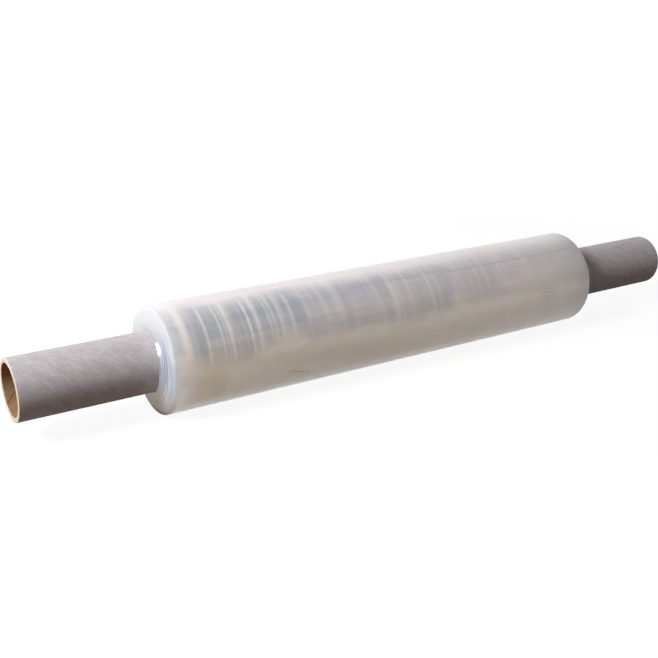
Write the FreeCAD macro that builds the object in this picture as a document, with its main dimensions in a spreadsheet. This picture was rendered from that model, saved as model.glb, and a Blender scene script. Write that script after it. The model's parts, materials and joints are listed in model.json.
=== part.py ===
"""Hand roll of clear stretch wrap, wound on a paperboard tube that sticks out at both ends as a pair of handles.

The roll lies on its side with its axis along X and the origin on the axis at the middle of the tube.
The end at -X has the shorter handle. The film rests on a small flat spot along its underside.
Sizes are in millimetres and angles in degrees.
"""

import FreeCAD
import Part
import math
import os
import Sketcher

SIZES = (
    ("core_length", 612.0),
    ("core_bore", 38.0),
    ("core_wall", 3.2),
    ("core_edge_break", 0.3),
    ("near_handle", 101.5),
    ("film_width", 400.0),
    ("film_build", 18.0),
    ("film_edge_break", 0.9),
    ("winding_clearance", 0.0),
    ("turn_wander", 0.7),
    ("near_end_lean", 2.6),
    ("band_height", 0.2),
    ("flat_spot_width", 12.0),
    ("seam_pitch", 109.5),
    ("seam_gap", 0.6),
    ("seam_depth", 0.35),
    ("seam_at_top", 14.0),
)

CORE_RADIUS = "(Sizes.core_bore / 2 + Sizes.core_wall)"
FILM_BORE_RADIUS = f"({CORE_RADIUS} + Sizes.winding_clearance)"
FILM_RADIUS = f"({FILM_BORE_RADIUS} + Sizes.film_build)"
FILM_NEAR_END = "(Sizes.near_handle - Sizes.core_length / 2)"
FLAT_SPOT_DROP = f"sqrt({FILM_RADIUS} ^ 2 - (Sizes.flat_spot_width / 2) ^ 2)"

# Groups of turns that can be told apart on each end of the film, and how their sideways wander is spread.
TURN_GROUPS = 8
WANDER_STEP_DEG = 137.5
NEAR_WANDER_START_DEG = 40.0
FAR_WANDER_START_DEG = 165.0

# Low ridges where the film is wound a little thicker: place as a share of its width, and the ridge's own width.
GAUGE_BANDS = (
    (0.030, 4.0),
    (0.071, 2.4),
    (0.116, 3.2),
    (0.156, 2.4),
    (0.174, 2.8),
    (0.245, 2.4),
    (0.473, 4.0),
    (0.565, 2.4),
)

CUT_FEATURES = ("PartDesign::Pocket", "PartDesign::SubtractiveHelix", "PartDesign::Chamfer")
EDGE_MATCH = 1e-4


def make_sizes(doc):
    """The sheet of sizes: the name of each beside its value."""
    sheet = doc.addObject("Spreadsheet::Sheet", "Sizes")
    for row, (name, value) in enumerate(SIZES, start=1):
        sheet.set(f"A{row}", name.replace("_", " "))
        sheet.set(f"B{row}", str(value))
        sheet.setAlias(f"B{row}", name)
    doc.recompute()
    return sheet


def number(sheet, expression):
    """What an expression over the sheet comes to, as a plain number."""
    return float(sheet.evalExpression(expression))


def sketch_on(body, role, name):
    """An empty sketch on one of the body's own origin planes, such as XZ_Plane."""
    plane = next(feature for feature in body.Origin.OriginFeatures if feature.Role == role)
    sketch = body.newObject("Sketcher::SketchObject", name)
    sketch.AttachmentSupport = [(plane, "")]
    sketch.MapMode = "FlatFace"
    return sketch


def draw_outline(sketch, sheet, corners):
    """A closed outline of straight lines, with both coordinates of each corner driven by an expression."""
    places = [FreeCAD.Vector(number(sheet, across), number(sheet, up), 0) for across, up in corners]
    for start, end in zip(places, places[1:] + places[:1]):
        sketch.addGeometry(Part.LineSegment(start, end), False)
    for line in range(len(places)):
        following = (line + 1) % len(places)
        sketch.addConstraint(Sketcher.Constraint("Coincident", line, 2, following, 1))
    for line, (across, up) in enumerate(corners):
        drive_corner(sketch, line, "DistanceX", places[line].x, across)
        drive_corner(sketch, line, "DistanceY", places[line].y, up)


def drive_corner(sketch, line, kind, value, expression):
    """Ties one coordinate of a line's first point to an expression."""
    index = sketch.addConstraint(Sketcher.Constraint(kind, -1, 1, line, 1, value))
    sketch.setExpression(f"Constraints[{index}]", expression)


def draw_circle(sketch, sheet, radius):
    """A circle about the sketch's origin."""
    start = Part.Circle(FreeCAD.Vector(0, 0, 0), FreeCAD.Vector(0, 0, 1), number(sheet, radius))
    circle = sketch.addGeometry(start, False)
    sketch.addConstraint(Sketcher.Constraint("Coincident", circle, 3, -1, 1))
    index = sketch.addConstraint(Sketcher.Constraint("Radius", circle, number(sheet, radius)))
    sketch.setExpression(f"Constraints[{index}]", radius)


def circular_edges(sheet, shape, wanted):
    """Names of the edges that are circles about the X axis at the wanted (place along X, radius)."""
    rings = [(number(sheet, place), number(sheet, radius)) for place, radius in wanted]
    found = []
    for index, edge in enumerate(shape.Edges, start=1):
        if edge.Curve.TypeId != "Part::GeomCircle":
            continue
        place, size = edge.Curve.Center.x, edge.Curve.Radius
        if any(abs(place - x) < EDGE_MATCH and abs(size - radius) < EDGE_MATCH for x, radius in rings):
            found.append(f"Edge{index}")
    if len(found) != len(wanted):
        raise RuntimeError(f"found {len(found)} of {len(wanted)} edges")
    return found


def make_core(doc, sheet):
    """The spiral-wound paperboard tube: cut ends with broken edges, and the open seam of its outermost ply."""
    body = doc.addObject("PartDesign::Body", "core_tube")
    ring = sketch_on(body, "YZ_Plane", "tube_section")
    draw_circle(ring, sheet, CORE_RADIUS)
    draw_circle(ring, sheet, "Sizes.core_bore / 2")
    tube = body.newObject("PartDesign::Pad", "tube")
    tube.Profile = ring
    tube.Midplane = True
    tube.setExpression("Length", "Sizes.core_length")
    doc.recompute()

    ends = ("-Sizes.core_length / 2", "Sizes.core_length / 2")
    rims = [(end, radius) for end in ends for radius in ("Sizes.core_bore / 2", CORE_RADIUS)]
    edges = body.newObject("PartDesign::Chamfer", "cut_edges")
    edges.Base = (tube, circular_edges(sheet, tube.Shape, rims))
    edges.setExpression("Size", "Sizes.core_edge_break")
    doc.recompute()

    cut_outer_seam(body, sheet)
    doc.recompute()
    return body


def cut_outer_seam(body, sheet):
    """A shallow groove, right-handed about X, which starts before one end of the tube and runs out past the other."""
    slot = sketch_on(body, "XZ_Plane", "seam_section")
    slot.setExpression("AttachmentOffset.Base.x", "Sizes.seam_at_top - Sizes.core_length / 2 - Sizes.seam_pitch")
    floor = f"{CORE_RADIUS} - Sizes.seam_depth"
    above = f"{CORE_RADIUS} + Sizes.seam_depth"
    draw_outline(slot, sheet, (
        ("0", floor),
        ("Sizes.seam_gap", floor),
        ("Sizes.seam_gap", above),
        ("0", above),
    ))
    seam = body.newObject("PartDesign::SubtractiveHelix", "outer_seam")
    seam.Profile = slot
    seam.ReferenceAxis = (slot, ["H_Axis"])
    seam.Mode = "pitch-height-angle"
    seam.LeftHanded = False
    seam.setExpression("Pitch", "Sizes.seam_pitch")
    seam.setExpression("Height", "Sizes.core_length + 2 * Sizes.seam_pitch")


def turn_depth(group, start_deg):
    """How far a group of turns lies in from the film's end."""
    share = 0.5 + 0.5 * math.sin(math.radians(start_deg + group * WANDER_STEP_DEG))
    return f"Sizes.turn_wander * {share:.3f}"


def turn_radius(group):
    """The radius under a group of turns."""
    return f"{FILM_BORE_RADIUS} + Sizes.film_build * {group} / {TURN_GROUPS}"


def near_end_corners():
    """The film's end at -X, from the tube outwards. Its inner turns stand out the most, as a shallow cone."""
    corners = []
    for group in range(TURN_GROUPS):
        inward = 1 - group / (TURN_GROUPS - 1)
        place = f"{turn_depth(group, NEAR_WANDER_START_DEG)} - Sizes.near_end_lean * {inward:.3f}"
        corners += [(place, turn_radius(group)), (place, turn_radius(group + 1))]
    return corners


def far_end_corners():
    """The film's end at +X, from the outside in to the tube."""
    corners = []
    for group in reversed(range(TURN_GROUPS)):
        place = f"Sizes.film_width - {turn_depth(group, FAR_WANDER_START_DEG)}"
        corners += [(place, turn_radius(group + 1)), (place, turn_radius(group))]
    return corners


def band_corners():
    """The ridges along the outside of the film."""
    corners = []
    for share, width in GAUGE_BANDS:
        middle = f"Sizes.film_width * {share}"
        corners += [
            (f"{middle} - {width} / 2", FILM_RADIUS),
            (middle, f"{FILM_RADIUS} + Sizes.band_height"),
            (f"{middle} + {width} / 2", FILM_RADIUS),
        ]
    return corners


def make_film(doc, sheet):
    """The wound film as one solid: its turned form, its soft outer corners and the flat spot that it lies on."""
    body = doc.addObject("PartDesign::Body", "film_roll")
    section = sketch_on(body, "XZ_Plane", "wound_section")
    section.setExpression("AttachmentOffset.Base.x", FILM_NEAR_END)
    draw_outline(section, sheet, near_end_corners() + band_corners() + far_end_corners())
    winding = body.newObject("PartDesign::Revolution", "winding")
    winding.Profile = section
    winding.ReferenceAxis = (section, ["H_Axis"])
    winding.Angle = 360
    doc.recompute()

    outermost = TURN_GROUPS - 1
    near = f"{FILM_NEAR_END} + {turn_depth(outermost, NEAR_WANDER_START_DEG)}"
    far = f"{FILM_NEAR_END} + Sizes.film_width - {turn_depth(outermost, FAR_WANDER_START_DEG)}"
    corners = body.newObject("PartDesign::Chamfer", "outer_corners")
    corners.Base = (winding, circular_edges(sheet, winding.Shape, [(near, FILM_RADIUS), (far, FILM_RADIUS)]))
    corners.setExpression("Size", "Sizes.film_edge_break")
    doc.recompute()

    slab = sketch_on(body, "YZ_Plane", "flat_spot_section")
    reach = f"({FILM_RADIUS} + 2 * Sizes.band_height)"
    draw_outline(slab, sheet, (
        (f"-{reach}", f"-{FLAT_SPOT_DROP}"),
        (f"-{reach}", f"-{reach}"),
        (reach, f"-{reach}"),
        (reach, f"-{FLAT_SPOT_DROP}"),
    ))
    flat = body.newObject("PartDesign::Pocket", "flat_spot")
    flat.Profile = slab
    flat.Midplane = True
    flat.setExpression("Length", "2 * Sizes.core_length")
    doc.recompute()
    return body


def check(doc, bodies):
    """Stops if a feature failed, a cut took nothing off, or a piece isn't one sound solid."""
    for item in doc.Objects:
        if "Invalid" in item.State or "Error" in item.State:
            raise RuntimeError(f"{item.Name} failed: {item.State}")
        if item.TypeId in CUT_FEATURES and item.Shape.Volume >= item.BaseFeature.Shape.Volume:
            raise RuntimeError(f"{item.Name} took nothing off")
    for body in bodies:
        shape = body.Shape
        if shape.isNull() or not shape.isValid() or len(shape.Solids) != 1:
            raise RuntimeError(f"{body.Label} isn't one sound solid")


def main():
    doc = FreeCAD.newDocument("stretch_wrap_roll")
    sheet = make_sizes(doc)
    bodies = (make_core(doc, sheet), make_film(doc, sheet))
    check(doc, bodies)
    os.makedirs("parts", exist_ok=True)
    for body in bodies:
        body.Shape.exportStep(os.path.join("parts", f"{body.Label}.step"))
        print(f"{body.Label}: {body.Shape.Volume / 1000:.1f} cm3, {len(body.Shape.Faces)} faces")


main()
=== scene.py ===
"""Looks of the hand roll of stretch wrap: its clear film, its paperboard tube, the studio and the camera.

Lengths are in metres in the part's own frame: X runs along the tube and Z is up.
The angle round the roll is measured from the top (+Z) towards the side that faces the camera (-Y).
"""

import json
import math

import bmesh
import bpy
import numpy as np
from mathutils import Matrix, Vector


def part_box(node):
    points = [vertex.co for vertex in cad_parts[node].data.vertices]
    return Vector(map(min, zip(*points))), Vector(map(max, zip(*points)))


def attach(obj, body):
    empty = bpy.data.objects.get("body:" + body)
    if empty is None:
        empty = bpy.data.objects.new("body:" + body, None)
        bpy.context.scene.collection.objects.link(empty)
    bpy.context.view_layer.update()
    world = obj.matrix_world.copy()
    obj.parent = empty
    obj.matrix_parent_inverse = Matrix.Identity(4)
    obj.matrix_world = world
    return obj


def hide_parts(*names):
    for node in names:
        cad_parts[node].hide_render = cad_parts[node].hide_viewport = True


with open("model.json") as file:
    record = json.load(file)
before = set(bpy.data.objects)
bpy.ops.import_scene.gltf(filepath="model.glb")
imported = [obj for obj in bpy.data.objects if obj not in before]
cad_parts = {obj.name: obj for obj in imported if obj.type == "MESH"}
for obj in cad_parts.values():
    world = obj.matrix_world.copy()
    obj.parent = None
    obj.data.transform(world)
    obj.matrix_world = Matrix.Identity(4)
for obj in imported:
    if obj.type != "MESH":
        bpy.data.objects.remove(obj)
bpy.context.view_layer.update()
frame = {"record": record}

MM = 0.001
TURN = 2 * math.pi

# Sizes of the two pieces, read from the frame.
_, core_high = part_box("core_tube")
film_low, film_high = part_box("film_roll")
core_bore = next(mount for mount in frame["record"]["mounts"] if mount["name"] == "core_bore")

CORE_END = core_high.x
CORE_RADIUS = core_high.y
BORE_RADIUS = core_bore["dims"]["r_mm"] * MM
FLOOR_HEIGHT = film_low.z
FILM_WIDTH = 400 * MM
FILM_NEAR = film_high.x - FILM_WIDTH

# The film's plain side lies this far below the ridges of the solid, which leaves room for its pale bands.
BAND_HEIGHT = 0.2 * MM
FILM_RADIUS = film_high.z - BAND_HEIGHT
FILM_BUILD = FILM_RADIUS - CORE_RADIUS
FILM_CORNER = 2.6 * MM

# Unevenness of the film's side in mm: height and length of its broad and fine waves, how far it is out of
# round and over what length that turns, and how high a fully white band stands.
BROAD_WAVES_MM = (0.03, 23.0)
FINE_WAVES_MM = (0.02, 4.1)
OUT_OF_ROUND_MM = (0.018, 60.0)
BAND_RISE_MM = 0.11

# Wander of the turns that show on each end, and its waves: each one's share of it and ripples a millimetre.
TURN_WANDER = 0.55 * MM
GROUP_WAVES = (0.30, 1.9)
TURN_WAVES = (0.12, 7.3)
SPIRAL_WAVE = (0.08, 0.8)
EVEN_SIDE_SHARE = 0.25
NEAR_END_SEED = 0.4
FAR_END_SEED = 2.6

# How far the innermost turns stand out of each end: all round, and then how much more towards one side.
NEAR_END_LEAN = (1.0 * MM, 2.8 * MM)
FAR_END_LEAN = (0.4 * MM, 0.4 * MM)
LEAN_TOWARDS_DEG = 115.0

# The lip of the turns beside the tube, and the one place where it swells over a shallow dip.
END_LIP_HEIGHT = 0.9 * MM
END_LIP_WIDTH_MM = 1.9
END_LIP_CURVE = 1.1
SWELL_AT_DEG = 48.0
SWELL_SPREAD_DEG = 15.0
SWELL_RISE = 1.4
SWELL_SINK = 1.7 * MM

FILM_STEPS_ROUND = 224
FILM_STEPS_ALONG = 300
FILM_STEPS_CORNER = 8
FILM_STEPS_END = 60
WELD_DISTANCE = 0.002 * MM

# Pale bands round the film, their pale colour partly a painted highlight where the ridges catch the light:
# distance from its near end and width in mm, whiteness and warmth from 0 to 1.
PALE_BANDS = (
    (2.5, 2.0, 0.25, 0.00),
    (13.0, 5.4, 0.90, 0.85),
    (20.0, 1.6, 0.20, 0.20),
    (28.5, 2.4, 0.60, 0.80),
    (40.0, 2.0, 0.60, 0.10),
    (43.5, 1.6, 0.35, 0.50),
    (47.0, 2.8, 0.80, 0.75),
    (58.5, 1.4, 0.30, 0.00),
    (63.0, 2.2, 0.95, 0.00),
    (69.5, 2.8, 0.70, 0.70),
    (79.0, 1.6, 0.45, 0.30),
    (83.0, 1.8, 0.50, 0.20),
    (88.5, 2.0, 0.45, 0.60),
    (98.0, 2.6, 0.45, 0.25),
    (112.0, 2.4, 0.20, 0.35),
    (190.0, 4.4, 0.42, 0.70),
    (226.0, 3.2, 0.38, 0.20),
    (276.0, 3.0, 0.28, 0.40),
    (301.0, 2.2, 0.30, 0.15),
    (331.0, 5.0, 0.30, 0.50),
)
BAND_FADE = 0.85

# The angle where the bands show best, as a painted highlight where their ridges catch the light, as they do
# straight behind it, and how little they show between.
BANDS_CATCH_LIGHT_AT_DEG = 52.0
BANDS_HIDDEN = 0.06

# The one band that also shows on the loose turns: its distance from the near end, and how well it shows.
LOOSE_BAND_MM = 13.0
LOOSE_BAND_SHOWN = 0.8

# Painted reflection: cool grey-blue patches where the turns' facets mirror the dim room: start and end in mm
# from its near end, start and end angle, strength.
PAINTED_REFLECTION_PATCHES = (
    (-5.0, 12.0, 16.0, 72.0, 0.95),
    (-5.0, 11.0, 64.0, 108.0, 0.65),
    (14.0, 34.0, 14.0, 78.0, 1.0),
    (11.0, 114.0, 17.0, 66.0, 0.95),
    (14.0, 70.0, 55.0, 84.0, 0.65),
    (60.0, 118.0, 52.0, 74.0, 0.60),
    (106.0, 196.0, 17.0, 58.0, 0.68),
    (102.0, 250.0, 50.0, 82.0, 0.65),
    (188.0, 256.0, 20.0, 62.0, 0.60),
    (250.0, 304.0, 22.0, 76.0, 0.40),
    (302.0, 410.0, 22.0, 64.0, 0.30),
    (338.0, 358.0, 79.0, 92.0, 0.4),
    (15.0, 140.0, 190.0, 232.0, 0.9),
    (150.0, 290.0, 205.0, 246.0, 0.7),
    (20.0, 96.0, 262.0, 300.0, 0.6),
    (240.0, 330.0, 272.0, 318.0, 0.6),
)
PATCH_FADE_DEG = 11.0
PATCH_FADE_OUT_MM = 8.0
PATCH_FADE_IN_MM = 10.0
PATCH_STRAY_MM = 20.0
PATCH_STRAY_ROUND = 0.30

# Long faint lines along the film: start and end in mm from its near end, angle in degrees, and strength.
LONG_LINES = (
    (60.0, 190.0, 58.0, 0.10),
    (150.0, 260.0, 31.0, 0.30),
    (238.0, 400.0, 34.5, 0.50),
    (318.0, 400.0, 80.0, 0.45),
    (335.0, 400.0, 84.5, 0.35),
    (325.0, 392.0, 89.0, 0.25),
    (20.0, 210.0, 214.0, 0.50),
    (120.0, 400.0, 251.0, 0.60),
    (0.0, 150.0, 288.0, 0.40),
    (210.0, 330.0, 312.0, 0.50),
)
LINE_EDGE_DEG = (2.0, 0.4)
LINE_TAPER = 0.8
LINE_STRAY_ROUND = 0.04

# The one short crease in the outer turn: distance from the near end in mm and angle of each of its ends.
CREASE = ((90.5, 111.0), (112.5, 121.0))
CREASE_EDGE_MM = (0.7, 0.2)
CREASE_TAPER = (0.5, 0.38)

# Arcs round the film: the middle, and how far from it the arc starts to show and is full, in degrees.
# The first three arcs are partly the film's warm cream and partly a painted glow of light passed through it.
LOOSE_GLOWING_UNDERSIDE = (120.0, 79.0, 41.0)
LOOSE_GLOWING_BACK = (250.0, 50.0, 20.0)
LOOSE_GLOWING_FAR_SIDE = (80.0, 50.0, 25.0)
TAN_SIDE = (110.0, 27.0, 10.0)
# The upper side, where the near corner and the rounded edge of an end get painted shade.
UPPER_SIDE = (30.0, 85.0, 45.0)
PARTED_TURNS = (96.0, 70.0, 25.0)
# The underside of an end, where a warm glow is painted over the tube's shadow.
END_UNDERSIDE = (165.0, 60.0, 25.0)
LIP_SIDE = (49.0, 32.0, 12.0)

# Stretches along the film, in mm from its near end: where each starts to show and where it is full.
FAR_PART_MM = (180.0, 330.0)
LOOSE_GLOWING_FAR_PART_MM = (285.0, 330.0)
NEAR_CORNER_MM = (5.0, 1.5)
TAN_MIDDLE_MM = 26.0
TAN_EDGE_MM = (20.0, 7.0)

# Rings on the film's ends, by radius: where each starts to show and where it is full.
END_RADII = (FILM_RADIUS - 0.3 * MM, FILM_RADIUS - 1.6 * MM)
ROUNDED_RADII = (FILM_RADIUS - 4.0 * MM, FILM_RADIUS - 2.0 * MM)
LIP_RADII = (CORE_RADIUS + 4.5 * MM, CORE_RADIUS + 3.0 * MM)

# Colours of the film's side and ends, as linear values.
MILKY = ((0.80, 0.73, 0.76, 1.0), (0.84, 0.75, 0.74, 1.0))
FAR_GREY = (0.62, 0.58, 0.60, 1.0)
# Warm cream of the loose turns, lightened into a painted glow of light passed through the film.
LOOSE_WARM_AND_GLOW = (0.998, 0.90, 0.81, 1.0)
LOOSE_PATCHY = (0.80, 0.68, 0.56, 1.0)
DULL_STREAK = (0.62, 0.57, 0.56, 1.0)
TAN = (0.58, 0.50, 0.32, 1.0)
# Cool grey-blue of a painted reflection of the dim room.
COOL_PAINTED_REFLECTION = (0.28, 0.37, 0.465, 1.0)
PALE_STREAK = (0.86, 0.82, 0.82, 1.0)
PALE_GRAIN = (0.82, 0.78, 0.77, 1.0)
# Pale band colour, partly a painted highlight.
BAND_WHITE_AND_HIGHLIGHT = (0.87, 0.85, 0.85, 1.0)
BAND_WARM = (0.92, 0.83, 0.73, 1.0)
LINE_DARK = (0.22, 0.21, 0.23, 1.0)
# Painted shade in the fold of the crease.
CREASE_PAINTED_SHADE = (0.14, 0.12, 0.10, 1.0)
# Painted shade for the upper near corner, against the lamp's light.
PAINTED_CORNER_SHADE = (0.42, 0.46, 0.50, 1.0)
END_TIGHT = (0.55, 0.59, 0.61, 1.0)
END_PARTED = (0.70, 0.74, 0.82, 1.0)
# Painted warm glow under the tube, lightening the end where the tube's shadow falls.
END_PAINTED_WARM_GLOW = (0.99, 0.79, 0.68, 1.0)
END_RING = (0.26, 0.32, 0.42, 1.0)
# Painted shade on the upper rounded edge of an end, against the lamp's light.
END_ROUNDED_PAINTED_SHADE = (0.44, 0.47, 0.50, 1.0)

# How light passes through the film, how rough its side is, and how much that changes elsewhere.
FILM_IOR = 2.1
FILM_SCATTER = 110 * MM
FILM_SCATTER_BY_COLOUR = (1.0, 0.82, 0.66)
FILM_COAT = 0.7
FILM_COAT_ROUGHNESS = 0.30
SATIN = (0.29, 0.37)
END_ROUGHER = 0.20
CORNER_ROUGHER = 0.30
LIP_GLOSSIER = 0.26

# Each face of the tube is one long strip of paper, wound as a right-handed spiral whose edges meet at a seam.
PLY_PITCH = 109.5 * MM
SEAM_HALF_WIDTH = 0.25 * MM
SEAM_LIP_HEIGHT = 0.03 * MM
SEAM_LIP_AT = 1.6
OUTER_SEAM_AT_TOP = 14.0 * MM
OUTER_SEAM_DEPTH = 0.12 * MM
HIDDEN_SEAM_ACROSS = 91.5 * MM
HIDDEN_SEAM_DEPTH = 0.07 * MM
HIDDEN_SEAM_WIDTH = 0.6 * MM
HIDDEN_SEAM_FADE = 8.0 * MM
INNER_SEAM_AT_TOP = 43.0 * MM
INNER_SEAM_DEPTH = 0.20 * MM
CUT_EDGE_ROUND = 0.35 * MM
PLIES_IN_WALL = 5
CORE_STEPS_ROUND = 200
CORE_STEPS_ACROSS_PLY = 26
CORE_STEPS_RIM = 8
CORE_STEPS_CUT_EDGE = 4

CAMERA_PLACE = Vector((-0.44487, -0.61765, 0.25545))
CAMERA_TILT_DEG = 70.435
CAMERA_HEADING_DEG = -32.289
CAMERA_LENS_MM = 53.31
SENSOR_MM = 36.0
CLIP_START = 0.01

SOFTBOX_PLACE = Vector((-1.15, -0.14, 0.85))
SOFTBOX_SIZE = (0.5, 0.5)
SOFTBOX_WATTS = 20.2

# The room's light from in front and from the wall behind, and how white each is in reflections.
ROOM_COLOUR = (1.0, 0.955, 0.945, 1.0)
ROOM_LEVEL = 0.20
WALL_LEVEL = 0.9
ROOM_REFLECTED = 0.22
WALL_REFLECTED = 0.84
WALL_TILT = -0.3
WALL_FULL = 0.55

WHITE = (1.0, 1.0, 1.0, 1.0)
FLOOR_SIZE = 60.0
FLOOR_THROWN = (0.150, 0.104, 0.070, 1.0)
FLOOR_SHADED = (0.13, 0.13, 0.13, 1.0)
FLOOR_GLOW_NEAR = 0.91
FLOOR_GLOW_STARTS = 0.4
FLOOR_GLOW_ENDS = 1.3


def linear(red, green, blue):
    """A colour as seen on a screen, 0 to 255, as the linear values that a shader takes."""
    shares = (channel / 255 for channel in (red, green, blue))
    return tuple(s / 12.92 if s <= 0.04045 else ((s + 0.055) / 1.055) ** 2.4 for s in shares) + (1.0,)


class Nodes:
    """Short ways to add nodes to one tree."""

    def __init__(self, tree):
        self.tree = tree
        self.tree.nodes.clear()

    def add(self, kind, inputs=None, **settings):
        node = self.tree.nodes.new(kind)
        for name, value in settings.items():
            setattr(node, name, value)
        for name, value in (inputs or {}).items():
            self.put(node.inputs[name], value)
        return node

    def put(self, socket, value):
        if isinstance(value, bpy.types.NodeSocket):
            self.tree.links.new(value, socket)
        else:
            socket.default_value = value

    def maths(self, operation, *values):
        node = self.add("ShaderNodeMath", operation=operation)
        for socket, value in zip(node.inputs, values):
            self.put(socket, value)
        return node.outputs[0]

    def product(self, first, *others):
        """Some values multiplied together."""
        for other in others:
            first = self.maths("MULTIPLY", first, other)
        return first

    def largest(self, first, *others):
        """The largest of some values."""
        for other in others:
            first = self.maths("MAXIMUM", first, other)
        return first

    def off(self, value, centre):
        """How far a value is from a given one, either way."""
        return self.maths("ABSOLUTE", self.maths("SUBTRACT", value, centre))

    def turned(self, angle, degrees):
        """How far an angle is from a given one, either way, in degrees."""
        apart = self.maths("SUBTRACT", angle, math.radians(degrees))
        shortest = self.maths("WRAP", apart, math.pi, -math.pi)
        return self.product(self.maths("ABSOLUTE", shortest), math.degrees(1))

    def remap(self, value, low, high, to_low=0.0, to_high=1.0):
        """A value moved from one range to another, eased at both ends and held beyond them."""
        node = self.add("ShaderNodeMapRange", {
            "Value": value, "From Min": low, "From Max": high, "To Min": to_low, "To Max": to_high,
        }, interpolation_type="SMOOTHSTEP")
        return node.outputs["Result"]

    def mix(self, factor, first, second):
        node = self.add("ShaderNodeMix", data_type="RGBA")
        for socket, value in zip((node.inputs[0], node.inputs[6], node.inputs[7]), (factor, first, second)):
            self.put(socket, value)
        return node.outputs[2]

    def layered(self, colour, *layers):
        """A colour with others laid over it in turn, each by its own amount."""
        for amount, shade in layers:
            colour = self.mix(amount, colour, shade)
        return colour

    def noise(self, vector, scale, detail=2.0, shift=(0.0, 0.0, 0.0)):
        """Noise with its own number of ripples a metre along each axis."""
        mapped = self.add("ShaderNodeMapping", {"Vector": vector, "Scale": scale, "Location": shift})
        node = self.add("ShaderNodeTexNoise", {
            "Vector": mapped.outputs["Vector"], "Scale": 1.0, "Detail": detail, "Roughness": 0.6,
        })
        return node.outputs["Fac"]

    def bump(self, height, strength, distance, normal=None):
        node = self.add("ShaderNodeBump", {"Height": height, "Strength": strength, "Distance": distance})
        if normal is not None:
            self.put(node.inputs["Normal"], normal)
        return node.outputs["Normal"]

    def round_axis(self):
        """The place of a point, its X, its distance from the tube's axis and its angle from the top."""
        place = self.add("ShaderNodeTexCoord").outputs["Object"]
        axes = self.add("ShaderNodeSeparateXYZ", {"Vector": place})
        x, y, z = axes.outputs["X"], axes.outputs["Y"], axes.outputs["Z"]
        squares = self.maths("ADD", self.product(y, y), self.product(z, z))
        angle = self.maths("ARCTAN2", self.product(y, -1.0), z)
        return place, x, self.maths("SQRT", squares), angle

    def ply(self, seam_at_top):
        """A point's place on the spiral strip, how far across it lies, and how far from the nearer edge."""
        _, x, radius, angle = self.round_axis()
        pitches = self.maths("DIVIDE", self.maths("SUBTRACT", x, seam_at_top - CORE_END), PLY_PITCH)
        turns = self.maths("SUBTRACT", pitches, self.maths("DIVIDE", angle, TURN))
        strip = self.maths("FLOOR", turns)
        across = self.product(self.maths("SUBTRACT", turns, strip), PLY_PITCH)
        along = self.product(self.maths("MULTIPLY_ADD", strip, TURN, angle), radius)
        edge = self.maths("MINIMUM", across, self.maths("SUBTRACT", PLY_PITCH, across))
        place = self.add("ShaderNodeCombineXYZ", {"X": along, "Y": across}).outputs["Vector"]
        return place, across, edge


def new_material(name, kind=Nodes):
    """An empty material and the helper that fills it."""
    material = bpy.data.materials.new(name)
    material.use_nodes = True
    return material, kind(material.node_tree)


def principled(nodes, **inputs):
    """Ends a material with a Principled shader. A value that is the same all over goes on its own socket."""
    named = {name.replace("_", " "): value for name, value in inputs.items()}
    shader = nodes.add("ShaderNodeBsdfPrincipled", named)
    nodes.add("ShaderNodeOutputMaterial", {"Surface": shader.outputs["BSDF"]})


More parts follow.
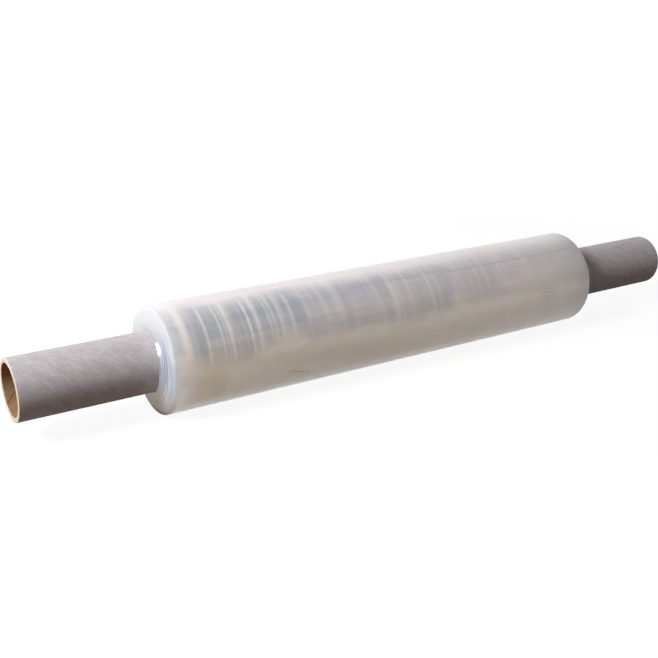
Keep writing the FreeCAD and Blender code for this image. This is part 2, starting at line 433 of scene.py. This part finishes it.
class FilmNodes(Nodes):
    """The nodes of the film: where a point is on it, and the patterns and masks that its looks share."""

    def __init__(self, tree):
        super().__init__(tree)
        self.place, x, self.radius, self.angle = self.round_axis()
        self.along_mm = self.product(self.maths("SUBTRACT", x, FILM_NEAR), 1 / MM)
        self.streaks = self.noise(self.place, (190.0, 12.0, 12.0), 3.0, (3.0, 0.0, 0.0))
        self.lengthwise = self.noise(self.place, (9.0, 95.0, 95.0), 3.0, (1.0, 4.0, 9.0))
        self.mottle = self.maths("MULTIPLY_ADD", self.streaks, 0.4, self.product(self.lengthwise, 0.6))
        blotches = self.noise(self.place, (45.0, 90.0, 90.0), 2.0, (7.0, 2.0, 5.0))
        self.stray = self.maths("SUBTRACT", blotches, 0.5)
        self.loose_and_glowing = self.loose_glowing_turns()
        self.upper = self.in_arc(UPPER_SIDE)
        self.at_corner = self.remap(self.along_mm, *NEAR_CORNER_MM)
        self.on_end = self.remap(self.radius, *END_RADII)
        self.rounded = self.remap(self.radius, *ROUNDED_RADII)

    def in_arc(self, arc, outside=0.0, inside=1.0):
        """A value that goes softly from outside an arc to inside it."""
        middle, starts, full = arc
        return self.remap(self.turned(self.angle, middle), starts, full, outside, inside)

    def loose_glowing_turns(self):
        """Where the turns are loose and warm, and painted lighter there as a glow of light passed through the
        film: the underside, the back and the low side of the far part.
        """
        far_part = self.remap(self.along_mm, *LOOSE_GLOWING_FAR_PART_MM, 0.0, 0.7)
        far_side = self.product(far_part, self.in_arc(LOOSE_GLOWING_FAR_SIDE))
        return self.largest(self.in_arc(LOOSE_GLOWING_UNDERSIDE), self.in_arc(LOOSE_GLOWING_BACK), far_side)

    def bands_shown_and_lit(self):
        """How well the bands show: best on two sides, as a painted highlight where their ridges catch the
        light, and unevenly. One band shows on the loose turns too.
        """
        twice = self.maths("MULTIPLY_ADD", self.angle, 2.0, -2 * math.radians(BANDS_CATCH_LIGHT_AT_DEG))
        facing = self.remap(self.maths("COSINE", twice), 0.0, 0.85, BANDS_HIDDEN, 1.0)
        shown = self.product(facing, self.remap(self.lengthwise, 0.35, 0.60, 0.65, 1.0))
        loose_band = self.remap(self.off(self.along_mm, LOOSE_BAND_MM), 6.0, 3.0)
        return self.largest(shown, self.product(loose_band, self.loose_and_glowing, LOOSE_BAND_SHOWN))

    def bands(self):
        """How white and how warm the film is from its pale bands, partly their own colour and partly a
        painted highlight.
        """
        white, warm = 0.0, 0.0
        for centre, width, whiteness, warmth in PALE_BANDS:
            band = self.remap(self.off(self.along_mm, centre), BAND_FADE * width, 0.0, 0.0, whiteness)
            white = self.largest(white, band)
            warm = self.largest(self.product(band, warmth), warm)
        shown = self.bands_shown_and_lit()
        return self.product(white, shown), self.product(warm, shown)

    def lines(self):
        """Thin lines along the film where its outer turns don't quite lie flat."""
        strayed = self.maths("MULTIPLY_ADD", self.stray, LINE_STRAY_ROUND, self.angle)
        lines = 0.0
        for start, end, degrees, strength in LONG_LINES:
            half = (end - start) / 2
            across = self.remap(self.turned(strayed, degrees), *LINE_EDGE_DEG, 0.0, strength)
            along = self.remap(self.off(self.along_mm, (start + end) / 2), half, LINE_TAPER * half)
            lines = self.largest(lines, self.product(across, along))
        return self.product(lines, self.remap(self.streaks, 0.42, 0.56, 0.35, 1.0))

    def painted_reflection_patches(self):
        """Painted reflection: cool patches where the turns' facets mirror the dim room."""
        strayed_mm = self.maths("MULTIPLY_ADD", self.stray, PATCH_STRAY_MM, self.along_mm)
        strayed = self.maths("MULTIPLY_ADD", self.stray, PATCH_STRAY_ROUND, self.angle)
        # The patches of painted reflection, strongest in their middles.
        clear = 0.0
        for start, end, first, last, strength in PAINTED_REFLECTION_PATCHES:
            half_mm, half_deg = (end - start) / 2, (last - first) / 2
            off = self.off(strayed_mm, (start + end) / 2)
            turned = self.turned(strayed, (first + last) / 2)
            along = self.remap(off, half_mm + PATCH_FADE_OUT_MM, half_mm - PATCH_FADE_IN_MM, 0.0, strength)
            around = self.remap(turned, half_deg + PATCH_FADE_DEG, half_deg - PATCH_FADE_DEG)
            clear = self.largest(clear, self.product(along, around))
        return self.product(clear, self.remap(self.mottle, 0.65, 0.35, 0.70, 0.97))

    def crease(self):
        """The fine line of the crease: 1 in its fold, fading out at both ends."""
        (start, first), (end, last) = CREASE
        share = self.maths("DIVIDE", self.maths("SUBTRACT", self.along_mm, start), end - start)
        line = self.maths("MULTIPLY_ADD", share, math.radians(last - first), math.radians(first))
        off_mm = self.product(self.off(self.angle, line), FILM_RADIUS / MM)
        fold = self.remap(off_mm, *CREASE_EDGE_MM)
        return self.product(fold, self.remap(self.off(share, 0.5), *CREASE_TAPER))

    def side_colour(self, white, warm, crease):
        """The milky colour of the side, with its patches, streaks, bands, lines and crease laid over it, and
        painted light: a glow on the loose turns, cool reflections, highlights on the bands and shade in the
        crease and at the near corner.
        """
        broad = self.noise(self.place, (9.0, 14.0, 14.0), 2.0, (5.0, 1.0, 3.0))
        patches = self.noise(self.place, (22.0, 40.0, 40.0), 2.0, (6.0, 2.0, 8.0))
        grain = self.noise(self.place, (260.0, 260.0, 260.0), 4.0, (2.0, 6.0, 1.0))
        streaky = self.maths("MULTIPLY_ADD", self.loose_and_glowing, -0.45, 1.0)
        tan_along = self.remap(self.off(self.along_mm, TAN_MIDDLE_MM), *TAN_EDGE_MM, 0.0, 0.45)
        return self.layered(
            self.mix(self.remap(broad, 0.35, 0.65), *MILKY),
            (self.remap(self.along_mm, *FAR_PART_MM, 0.0, 0.35), FAR_GREY),
            # Painted glow, in part: the loose turns lighter and warmer, as if lit through the film.
            (self.product(self.loose_and_glowing, 0.95), LOOSE_WARM_AND_GLOW),
            (self.product(self.remap(patches, 0.42, 0.60, 0.0, 0.25), self.loose_and_glowing), LOOSE_PATCHY),
            (self.product(self.remap(self.lengthwise, 0.60, 0.40, 0.0, 0.25), streaky), DULL_STREAK),
            (self.product(tan_along, self.in_arc(TAN_SIDE)), TAN),
            # Painted reflection: cool patches standing in for the dim room mirrored by the turns.
            (self.product(self.painted_reflection_patches(), 0.9), COOL_PAINTED_REFLECTION),
            (self.product(self.remap(self.streaks, 0.48, 0.66, 0.0, 0.30), streaky), PALE_STREAK),
            (self.remap(grain, 0.35, 0.70, 0.0, 0.08), PALE_GRAIN),
            # Pale bands, brightened where they turn to the light as a painted highlight.
            (white, BAND_WHITE_AND_HIGHLIGHT),
            (self.product(warm, 0.6), BAND_WARM),
            (self.product(self.lines(), 0.6), LINE_DARK),
            # Painted shade darkening the fold of the crease.
            (self.product(crease, 0.45), CREASE_PAINTED_SHADE),
            # Painted shade: the upper side of the near corner darkened against the lamp's light.
            (self.product(self.at_corner, self.upper, 0.6), PAINTED_CORNER_SHADE),
        )

    def end_colour(self):
        """The rings of turns on an end: parted on one side, with a painted warm glow underneath and painted
        shade at the rounded edge.
        """
        by_radius = self.add("ShaderNodeCombineXYZ", {"X": self.radius, "Y": self.angle}).outputs["Vector"]
        rings = self.remap(self.noise(by_radius, (700.0, 0.4, 1.0), 3.0), 0.53, 0.43)
        parted = self.in_arc(PARTED_TURNS, 0.10, 1.0)
        under = self.in_arc(END_UNDERSIDE)
        return self.layered(
            self.mix(parted, END_TIGHT, END_PARTED),
            # Painted warm glow: the end under the tube lighter and warmer than its light gives.
            (under, END_PAINTED_WARM_GLOW),
            (self.product(rings, parted, self.maths("MULTIPLY_ADD", under, -0.6, 1.0)), END_RING),
            # Painted shade on the upper rounded edge, where the lamp lights it most.
            (self.product(self.rounded, self.upper, 0.5), END_ROUNDED_PAINTED_SHADE),
        )

    def roughness(self):
        """Satin on the side, rougher on the ends and the near corner, glossier on the lip beside the tube."""
        on_lip = self.product(self.remap(self.radius, *LIP_RADII), self.in_arc(LIP_SIDE))
        rough = self.remap(self.mottle, 0.4, 0.6, *SATIN)
        rough = self.maths("MULTIPLY_ADD", self.on_end, END_ROUGHER, rough)
        rough = self.maths("MULTIPLY_ADD", self.product(self.rounded, self.at_corner), CORNER_ROUGHER, rough)
        return self.maths("MULTIPLY_ADD", on_lip, -LIP_GLOSSIER, rough)

    def relief(self, crease):
        """Fine ripples and streaks round the film, long shallow waves along it and the fold of its crease."""
        fine = self.noise(self.place, (900.0, 8.0, 8.0), 3.0)
        relief = self.bump(fine, 0.15, 0.05 * MM)
        relief = self.bump(self.streaks, 0.15, 0.35 * MM, relief)
        relief = self.bump(self.lengthwise, 0.20, 0.7 * MM, relief)
        return self.bump(crease, 0.6, 0.3 * MM, relief)


def film_material():
    """Many turns of clear film: satin and a little milky, with pale bands where it is wound thicker, and
    light painted into its colour: glow, reflections, highlights and shade.
    """
    material, nodes = new_material("clear_film_wound", FilmNodes)
    white, warm = nodes.bands()
    crease = nodes.crease()
    uncoated = nodes.largest(nodes.on_end, nodes.at_corner)
    principled(
        nodes,
        Base_Color=nodes.mix(nodes.on_end, nodes.side_colour(white, warm, crease), nodes.end_colour()),
        Roughness=nodes.roughness(),
        Normal=nodes.relief(crease),
        IOR=FILM_IOR,
        Subsurface_Weight=nodes.maths("MULTIPLY_ADD", white, -0.6, 1.0),
        Subsurface_Radius=FILM_SCATTER_BY_COLOUR,
        Subsurface_Scale=FILM_SCATTER,
        Coat_Weight=nodes.maths("MULTIPLY_ADD", uncoated, -FILM_COAT, FILM_COAT),
        Coat_Roughness=FILM_COAT_ROUGHNESS,
    )
    return material


def facing_paper_material():
    """Grey paper on the outside of the tube, with its fine seam and the faint line of the one below it."""
    material, nodes = new_material("grey_facing_paper")
    strip, across, edge = nodes.ply(OUTER_SEAM_AT_TOP)
    fibres = nodes.noise(strip, (700.0, 900.0, 1.0), 4.0)
    clouds = nodes.noise(strip, (110.0, 130.0, 1.0), 4.0)
    specks = nodes.noise(strip, (2200.0, 2600.0, 1.0), 2.0)
    uneven = nodes.noise(strip, (45.0, 45.0, 1.0), 2.0, (4.0, 0.0, 0.0))
    drift = nodes.noise(strip, (110.0, 320.0, 1.0), 3.0, (2.0, 8.0, 0.0))
    flecks = nodes.noise(strip, (380.0, 420.0, 1.0), 2.0, (5.0, 3.0, 0.0))
    hidden = nodes.off(across, HIDDEN_SEAM_ACROSS)
    seam = nodes.product(nodes.remap(edge, 0.45 * MM, 0.10 * MM), nodes.remap(uneven, 0.35, 0.6, 0.05, 0.42))
    principled(
        nodes,
        Base_Color=nodes.layered(
            nodes.mix(nodes.remap(clouds, 0.3, 0.7), linear(174, 168, 172), linear(201, 195, 198)),
            (nodes.remap(drift, 0.35, 0.65, 0.0, 0.18), linear(208, 202, 205)),
            (nodes.remap(flecks, 0.35, 0.65, 0.0, 0.50), linear(168, 162, 165)),
            (nodes.remap(fibres, 0.35, 0.75, 0.0, 0.5), linear(206, 200, 202)),
            (nodes.remap(fibres, 0.50, 0.25, 0.0, 0.4), linear(166, 159, 162)),
            (nodes.remap(specks, 0.60, 0.78, 0.0, 0.35), linear(146, 136, 134)),
            (nodes.remap(hidden, 0.9 * MM, 0.1 * MM, 0.0, 0.15), linear(128, 122, 124)),
            (seam, linear(96, 86, 82)),
        ),
        Roughness=nodes.remap(fibres, 0.3, 0.7, 0.78, 0.92),
        Normal=nodes.bump(clouds, 0.2, 0.3 * MM, nodes.bump(fibres, 0.35, 0.12 * MM)),
        Specular_IOR_Level=0.35,
        Sheen_Weight=0.12,
    )
    return material


def liner_material():
    """Tan board inside the bore, with its own seam."""
    material, nodes = new_material("tan_liner_board")
    strip, _, edge = nodes.ply(INNER_SEAM_AT_TOP)
    fibres = nodes.noise(strip, (300.0, 1500.0, 1.0), 4.0)
    clouds = nodes.noise(strip, (70.0, 200.0, 1.0), 3.0)
    principled(
        nodes,
        Base_Color=nodes.layered(
            nodes.mix(nodes.remap(clouds, 0.3, 0.7), linear(136, 104, 70), linear(158, 124, 86)),
            (nodes.remap(fibres, 0.35, 0.75, 0.0, 0.4), linear(178, 148, 110)),
            (nodes.remap(edge, 0.6 * MM, 0.15 * MM, 0.0, 0.8), linear(70, 44, 24)),
        ),
        Roughness=nodes.remap(fibres, 0.3, 0.7, 0.80, 0.95),
        Normal=nodes.bump(fibres, 0.4, 0.15 * MM),
        Specular_IOR_Level=0.25,
    )
    return material


def cut_board_material():
    """The sawn ends of the tube: pale plies of board in rings, a little fuzzy."""
    material, nodes = new_material("cut_board")
    place, _, radius, _ = nodes.round_axis()
    depth = nodes.remap(radius, BORE_RADIUS, CORE_RADIUS)
    plies = nodes.maths("SINE", nodes.product(depth, TURN * PLIES_IN_WALL))
    fuzz = nodes.noise(place, (1800.0, 1800.0, 1800.0), 3.0)
    principled(
        nodes,
        Base_Color=nodes.layered(
            nodes.mix(nodes.remap(plies, -0.4, 1.0), linear(220, 209, 193), linear(196, 180, 158)),
            (nodes.remap(fuzz, 0.35, 0.7, 0.0, 0.5), linear(228, 221, 208)),
        ),
        Roughness=nodes.remap(fuzz, 0.3, 0.7, 0.85, 0.97),
        Normal=nodes.bump(nodes.maths("MULTIPLY_ADD", plies, 0.4, fuzz), 0.5, 0.15 * MM),
        Specular_IOR_Level=0.2,
    )
    return material


def new_object(name, data):
    """A new object in the scene."""
    made = bpy.data.objects.new(name, data)
    bpy.context.collection.objects.link(made)
    return made


def welded_grid(name, x, radius, angle, materials, kinds):
    """A form from rows of rings round the axis. kinds gives the material of the faces after each row.

    Where there is a kind for each row, faces also join the last row to the first.
    """
    z = np.maximum(radius * np.cos(angle), FLOOR_HEIGHT)
    points = np.stack((x, -radius * np.sin(angle), z), axis=-1).reshape(-1, 3)
    rows, columns = x.shape
    index = np.arange(rows * columns).reshape(rows, columns)
    following = np.roll(index, -1, axis=0)
    faces = np.stack((index[:, :-1], index[:, 1:], following[:, 1:], following[:, :-1]), axis=-1)
    faces = faces[:len(kinds)].reshape(-1, 4)

    mesh = bpy.data.meshes.new(name)
    mesh.from_pydata(points.tolist(), [], faces.tolist())
    for material in materials:
        mesh.materials.append(material)
    mesh.polygons.foreach_set("material_index", np.repeat(kinds, columns - 1))
    mesh.shade_smooth()

    form = bmesh.new()
    form.from_mesh(mesh)
    bmesh.ops.remove_doubles(form, verts=form.verts, dist=WELD_DISTANCE)
    bmesh.ops.dissolve_degenerate(form, edges=form.edges, dist=WELD_DISTANCE)
    bmesh.ops.recalc_face_normals(form, faces=form.faces)
    form.to_mesh(mesh)
    form.free()
    return new_object(name, mesh)


def steps_round(count):
    """Angles once round the axis, with the first repeated at the end."""
    return np.linspace(0.0, TURN, count + 1)


def wander(value, seed):
    """A gentle repeatable wander between -1 and 1, from sines whose lengths share no multiple."""
    return (
        0.45 * np.sin(value + seed)
        + 0.30 * np.sin(2.37 * value + 1.7 * seed)
        + 0.25 * np.sin(5.11 * value + 2.9 * seed)
    )


def film_side_height(along, angle):
    """How far the wound film stands out from its plain radius, at a distance along it in metres."""
    along_mm = along / MM
    broad, broad_length = BROAD_WAVES_MM
    fine, fine_length = FINE_WAVES_MM
    out_of_round, turning_length = OUT_OF_ROUND_MM
    height = broad * wander(along_mm / broad_length, 1.0) + fine * wander(along_mm / fine_length, 2.0)
    height = height + out_of_round * np.sin(2 * angle + wander(along_mm / turning_length, 3.0))
    for centre, width, whiteness, _ in PALE_BANDS:
        height = height + BAND_RISE_MM * whiteness * np.exp(-(((along_mm - centre) / (0.5 * width)) ** 2))
    return height * MM


def film_end_depth(radius, angle, seed, lean):
    """How far the turns at this radius lie in from the film's end."""
    build_mm = (radius - CORE_RADIUS) / MM
    inward = 1 - (radius - CORE_RADIUS) / FILM_BUILD
    all_round, to_side = lean
    towards = (0.5 + 0.5 * np.cos(angle - math.radians(LEAN_TOWARDS_DEG))) ** 2
    group, group_ripples = GROUP_WAVES
    single, single_ripples = TURN_WAVES
    spiral, spiral_ripples = SPIRAL_WAVE
    groups = group * wander(group_ripples * build_mm, seed)
    groups = groups + single * wander(single_ripples * build_mm, seed + 4)
    uneven = groups * (EVEN_SIDE_SHARE + (1 - EVEN_SIDE_SHARE) * towards)
    uneven = uneven + spiral * np.sin(angle + spiral_ripples * build_mm + seed)
    swell = np.exp(-((np.degrees(angle) - SWELL_AT_DEG) / SWELL_SPREAD_DEG) ** 2)
    lip = max(0.0, 1 - build_mm / END_LIP_WIDTH_MM) ** END_LIP_CURVE
    lip_height = END_LIP_HEIGHT * (1 + SWELL_RISE * swell)
    lean_here = all_round + to_side * towards - SWELL_SINK * swell
    return TURN_WANDER * (0.5 + uneven) - lean_here * inward - lip_height * lip


def film_end_rows(angle, seed, lean):
    """One end of the film from the tube out to the side: the depth and radius of each row."""
    flat_edge = FILM_RADIUS - FILM_CORNER
    depths, radii = [], []
    for radius in np.linspace(CORE_RADIUS, flat_edge, FILM_STEPS_END):
        depths.append(film_end_depth(radius, angle, seed, lean))
        radii.append(np.full_like(angle, radius))
    for bend in np.linspace(0, math.pi / 2, FILM_STEPS_CORNER + 1)[1:]:
        start = film_end_depth(flat_edge, angle, seed, lean) * math.cos(bend)
        lift = film_side_height(FILM_CORNER, angle) * math.sin(bend)
        depths.append(start + FILM_CORNER * (1 - math.cos(bend)))
        radii.append(flat_edge + FILM_CORNER * math.sin(bend) + lift)
    return depths, radii


def make_film():
    """The wound film: out over its near end, along its side and in over its far end to the tube.

    It has no wall against the tube, where nothing shows, so that light scatters right through the turns.
    """
    angle = steps_round(FILM_STEPS_ROUND)
    near_depths, near_radii = film_end_rows(angle, NEAR_END_SEED, NEAR_END_LEAN)
    far_depths, far_radii = film_end_rows(angle, FAR_END_SEED, FAR_END_LEAN)
    sides = np.linspace(FILM_CORNER, FILM_WIDTH - FILM_CORNER, FILM_STEPS_ALONG)[1:-1]

    along = near_depths + [np.full_like(angle, side) for side in sides]
    along += [FILM_WIDTH - depth for depth in reversed(far_depths)]
    radii = near_radii + [FILM_RADIUS + film_side_height(side, angle) for side in sides] + far_radii[::-1]
    kinds = np.zeros(len(along) - 1, dtype=int)
    return welded_grid(
        "wound_film", FILM_NEAR + np.stack(along), np.stack(radii), angle[None, :], [film_material()], kinds,
    )


def ply_steps():
    """Places across one ply from seam to seam, closer together beside the seam."""
    beside = np.array([0.0, 1.0, SEAM_LIP_AT, 3.0]) * SEAM_HALF_WIDTH
    middle = np.linspace(beside[-1], PLY_PITCH - beside[-1], CORE_STEPS_ACROSS_PLY)[1:-1]
    return np.concatenate((beside, middle, (PLY_PITCH - beside)[:0:-1]))


def spiral_rows(angle, seam_at_top, end):
    """X of rows that follow the spiral from one end of the tube to the other, held at the ends."""
    first = seam_at_top - CORE_END - 2 * PLY_PITCH
    plies = math.ceil((end - first) / PLY_PITCH)
    starts = first + (np.arange(plies)[:, None] * PLY_PITCH + ply_steps()[None, :]).reshape(-1)
    return np.clip(starts[:, None] + PLY_PITCH * angle[None, :] / TURN, -end, end)


def seam_relief(x, angle, seam_at_top, depth):
    """How high the paper stands beside its seam, a groove with barely raised lips, and where it is across."""
    across = np.mod(x - seam_at_top + CORE_END - PLY_PITCH * angle / TURN, PLY_PITCH)
    edge = np.minimum(across, PLY_PITCH - across)
    groove = -depth * np.clip(1 - edge / SEAM_HALF_WIDTH, 0, 1)
    lips = SEAM_LIP_HEIGHT * np.exp(-((edge / SEAM_HALF_WIDTH - SEAM_LIP_AT) ** 2))
    return groove + lips, across


def tube_outside(angle, end):
    """Rows of the tube's outside from -X to +X."""
    x = spiral_rows(angle, OUTER_SEAM_AT_TOP, end)
    relief, across = seam_relief(x, angle, OUTER_SEAM_AT_TOP, OUTER_SEAM_DEPTH)
    hidden = HIDDEN_SEAM_DEPTH * np.exp(-(((across - HIDDEN_SEAM_ACROSS) / HIDDEN_SEAM_WIDTH) ** 2))
    hidden = hidden * np.clip((end - np.abs(x)) / HIDDEN_SEAM_FADE, 0, 1)
    return x, CORE_RADIUS + relief - hidden


def tube_bore(angle, end):
    """Rows of the tube's bore from +X to -X."""
    x = spiral_rows(angle, INNER_SEAM_AT_TOP, end)[::-1]
    relief, _ = seam_relief(x, angle, INNER_SEAM_AT_TOP, INNER_SEAM_DEPTH)
    return x, BORE_RADIUS - relief


def tube_rim(angle):
    """Rows over one cut end, from the outside in: how far short of the end each lies, and its radius."""
    bends = np.linspace(0, math.pi / 2, CORE_STEPS_CUT_EDGE)
    outer = [(1 - math.sin(b), CORE_RADIUS - CUT_EDGE_ROUND * (1 - math.cos(b))) for b in bends]
    inner = [(1 - math.cos(b), BORE_RADIUS + CUT_EDGE_ROUND * (1 - math.sin(b))) for b in bends]
    flat = [(0.0, radius) for radius in np.linspace(outer[-1][1], inner[0][1], CORE_STEPS_RIM)[1:-1]]
    short = [np.full_like(angle, CUT_EDGE_ROUND * share) for share, _ in outer + flat + inner]
    radii = [np.full_like(angle, radius) for _, radius in outer + flat + inner]
    return np.stack(short), np.stack(radii)


def make_tube():
    """The tube: its outside, one cut end, its bore and the other cut end, as one closed form."""
    angle = steps_round(CORE_STEPS_ROUND)
    end = CORE_END - CUT_EDGE_ROUND
    outside_x, outside_radius = tube_outside(angle, end)
    bore_x, bore_radius = tube_bore(angle, end)
    short, rim_radius = tube_rim(angle)
    x = np.vstack((outside_x, CORE_END - short, bore_x, short[::-1] - CORE_END))
    radius = np.vstack((outside_radius, rim_radius, bore_radius, rim_radius[::-1]))
    kinds = np.repeat((0, 1, 2, 1), (len(outside_x), len(short), len(bore_x), len(short)))
    materials = [facing_paper_material(), cut_board_material(), liner_material()]
    return welded_grid("paperboard_tube", x, radius, angle[None, :], materials, kinds)


def make_floor():
    """A plain floor with the part's soft shadow.

    It is white to the eye and in reflections, and throws little light back at the part.
    """
    bpy.ops.mesh.primitive_plane_add(size=FLOOR_SIZE, location=(0, 0, FLOOR_HEIGHT))
    floor = bpy.context.object
    floor.name = "studio_floor"
    material, nodes = new_material("pale_floor")
    seen = nodes.add("ShaderNodeLightPath")
    bare = nodes.largest(*(seen.outputs[f"Is {kind} Ray"] for kind in ("Camera", "Glossy", "Transmission")))
    place = nodes.add("ShaderNodeTexCoord").outputs["Object"]
    away = nodes.add("ShaderNodeVectorMath", {0: place}, operation="LENGTH").outputs["Value"]
    level = nodes.remap(away, FLOOR_GLOW_STARTS, FLOOR_GLOW_ENDS, FLOOR_GLOW_NEAR, 1.0)
    lit = nodes.add("ShaderNodeBsdfDiffuse", {"Color": FLOOR_THROWN})
    shaded = nodes.add("ShaderNodeBsdfDiffuse", {"Color": FLOOR_SHADED})
    glow = nodes.add("ShaderNodeEmission", {"Color": WHITE, "Strength": level})
    shown = nodes.add("ShaderNodeAddShader", {0: shaded.outputs[0], 1: glow.outputs[0]})
    either = nodes.add("ShaderNodeMixShader", {0: bare, 1: lit.outputs[0], 2: shown.outputs[0]})
    nodes.add("ShaderNodeOutputMaterial", {"Surface": either.outputs[0]})
    floor.data.materials.append(material)


def make_softbox():
    """One soft lamp above and beyond the nearer grip, turned to the part."""
    lamp = bpy.data.lights.new("overhead_softbox", "AREA")
    lamp.shape = "RECTANGLE"
    lamp.size, lamp.size_y = SOFTBOX_SIZE
    lamp.energy = SOFTBOX_WATTS
    softbox = new_object("overhead_softbox", lamp)
    softbox.location = SOFTBOX_PLACE
    softbox.rotation_euler = (-SOFTBOX_PLACE).to_track_quat("-Z", "Y").to_euler()


def make_room():
    """A dim warm-white room with a bright wall behind the part.

    It is plain white to the eye, and whiter in reflections than in the light that it throws.
    """
    world = bpy.data.worlds.new("studio_room")
    world.use_nodes = True
    bpy.context.scene.world = world
    nodes = Nodes(world.node_tree)
    seen = nodes.add("ShaderNodeLightPath")
    direction = nodes.add("ShaderNodeTexCoord").outputs["Generated"]
    way = nodes.add("ShaderNodeSeparateXYZ", {"Vector": direction})
    behind = nodes.maths("MULTIPLY_ADD", way.outputs["Z"], WALL_TILT, way.outputs["Y"])
    reflected = nodes.remap(behind, 0.0, WALL_FULL, ROOM_REFLECTED, WALL_REFLECTED)
    bare = nodes.largest(
        seen.outputs["Is Camera Ray"],
        seen.outputs["Is Transmission Ray"],
        nodes.product(seen.outputs["Is Glossy Ray"], reflected),
    )
    level = nodes.remap(behind, 0.0, WALL_FULL, ROOM_LEVEL, WALL_LEVEL)
    room = nodes.add("ShaderNodeBackground", {"Color": ROOM_COLOUR, "Strength": level})
    white = nodes.add("ShaderNodeBackground", {"Color": WHITE, "Strength": 1.0})
    either = nodes.add("ShaderNodeMixShader", {0: bare, 1: room.outputs[0], 2: white.outputs[0]})
    nodes.add("ShaderNodeOutputWorld", {"Surface": either.outputs[0]})


def make_camera():
    """The photograph's view."""
    lens = bpy.data.cameras.new("photo_view")
    lens.lens = CAMERA_LENS_MM
    lens.sensor_width = SENSOR_MM
    lens.clip_start = CLIP_START
    lens.clip_end = 2 * FLOOR_SIZE
    camera = new_object("photo_view", lens)
    camera.location = CAMERA_PLACE
    camera.rotation_euler = (math.radians(CAMERA_TILT_DEG), 0.0, math.radians(CAMERA_HEADING_DEG))
    bpy.context.scene.camera = camera


def dress(piece, node):
    """Makes a piece stand for a node of the part."""
    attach(piece, "root")
    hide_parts(node)


bpy.context.scene.view_settings.view_transform = "Standard"
make_camera()
make_floor()
make_softbox()
make_room()
dress(make_tube(), "core_tube")
dress(make_film(), "film_roll")
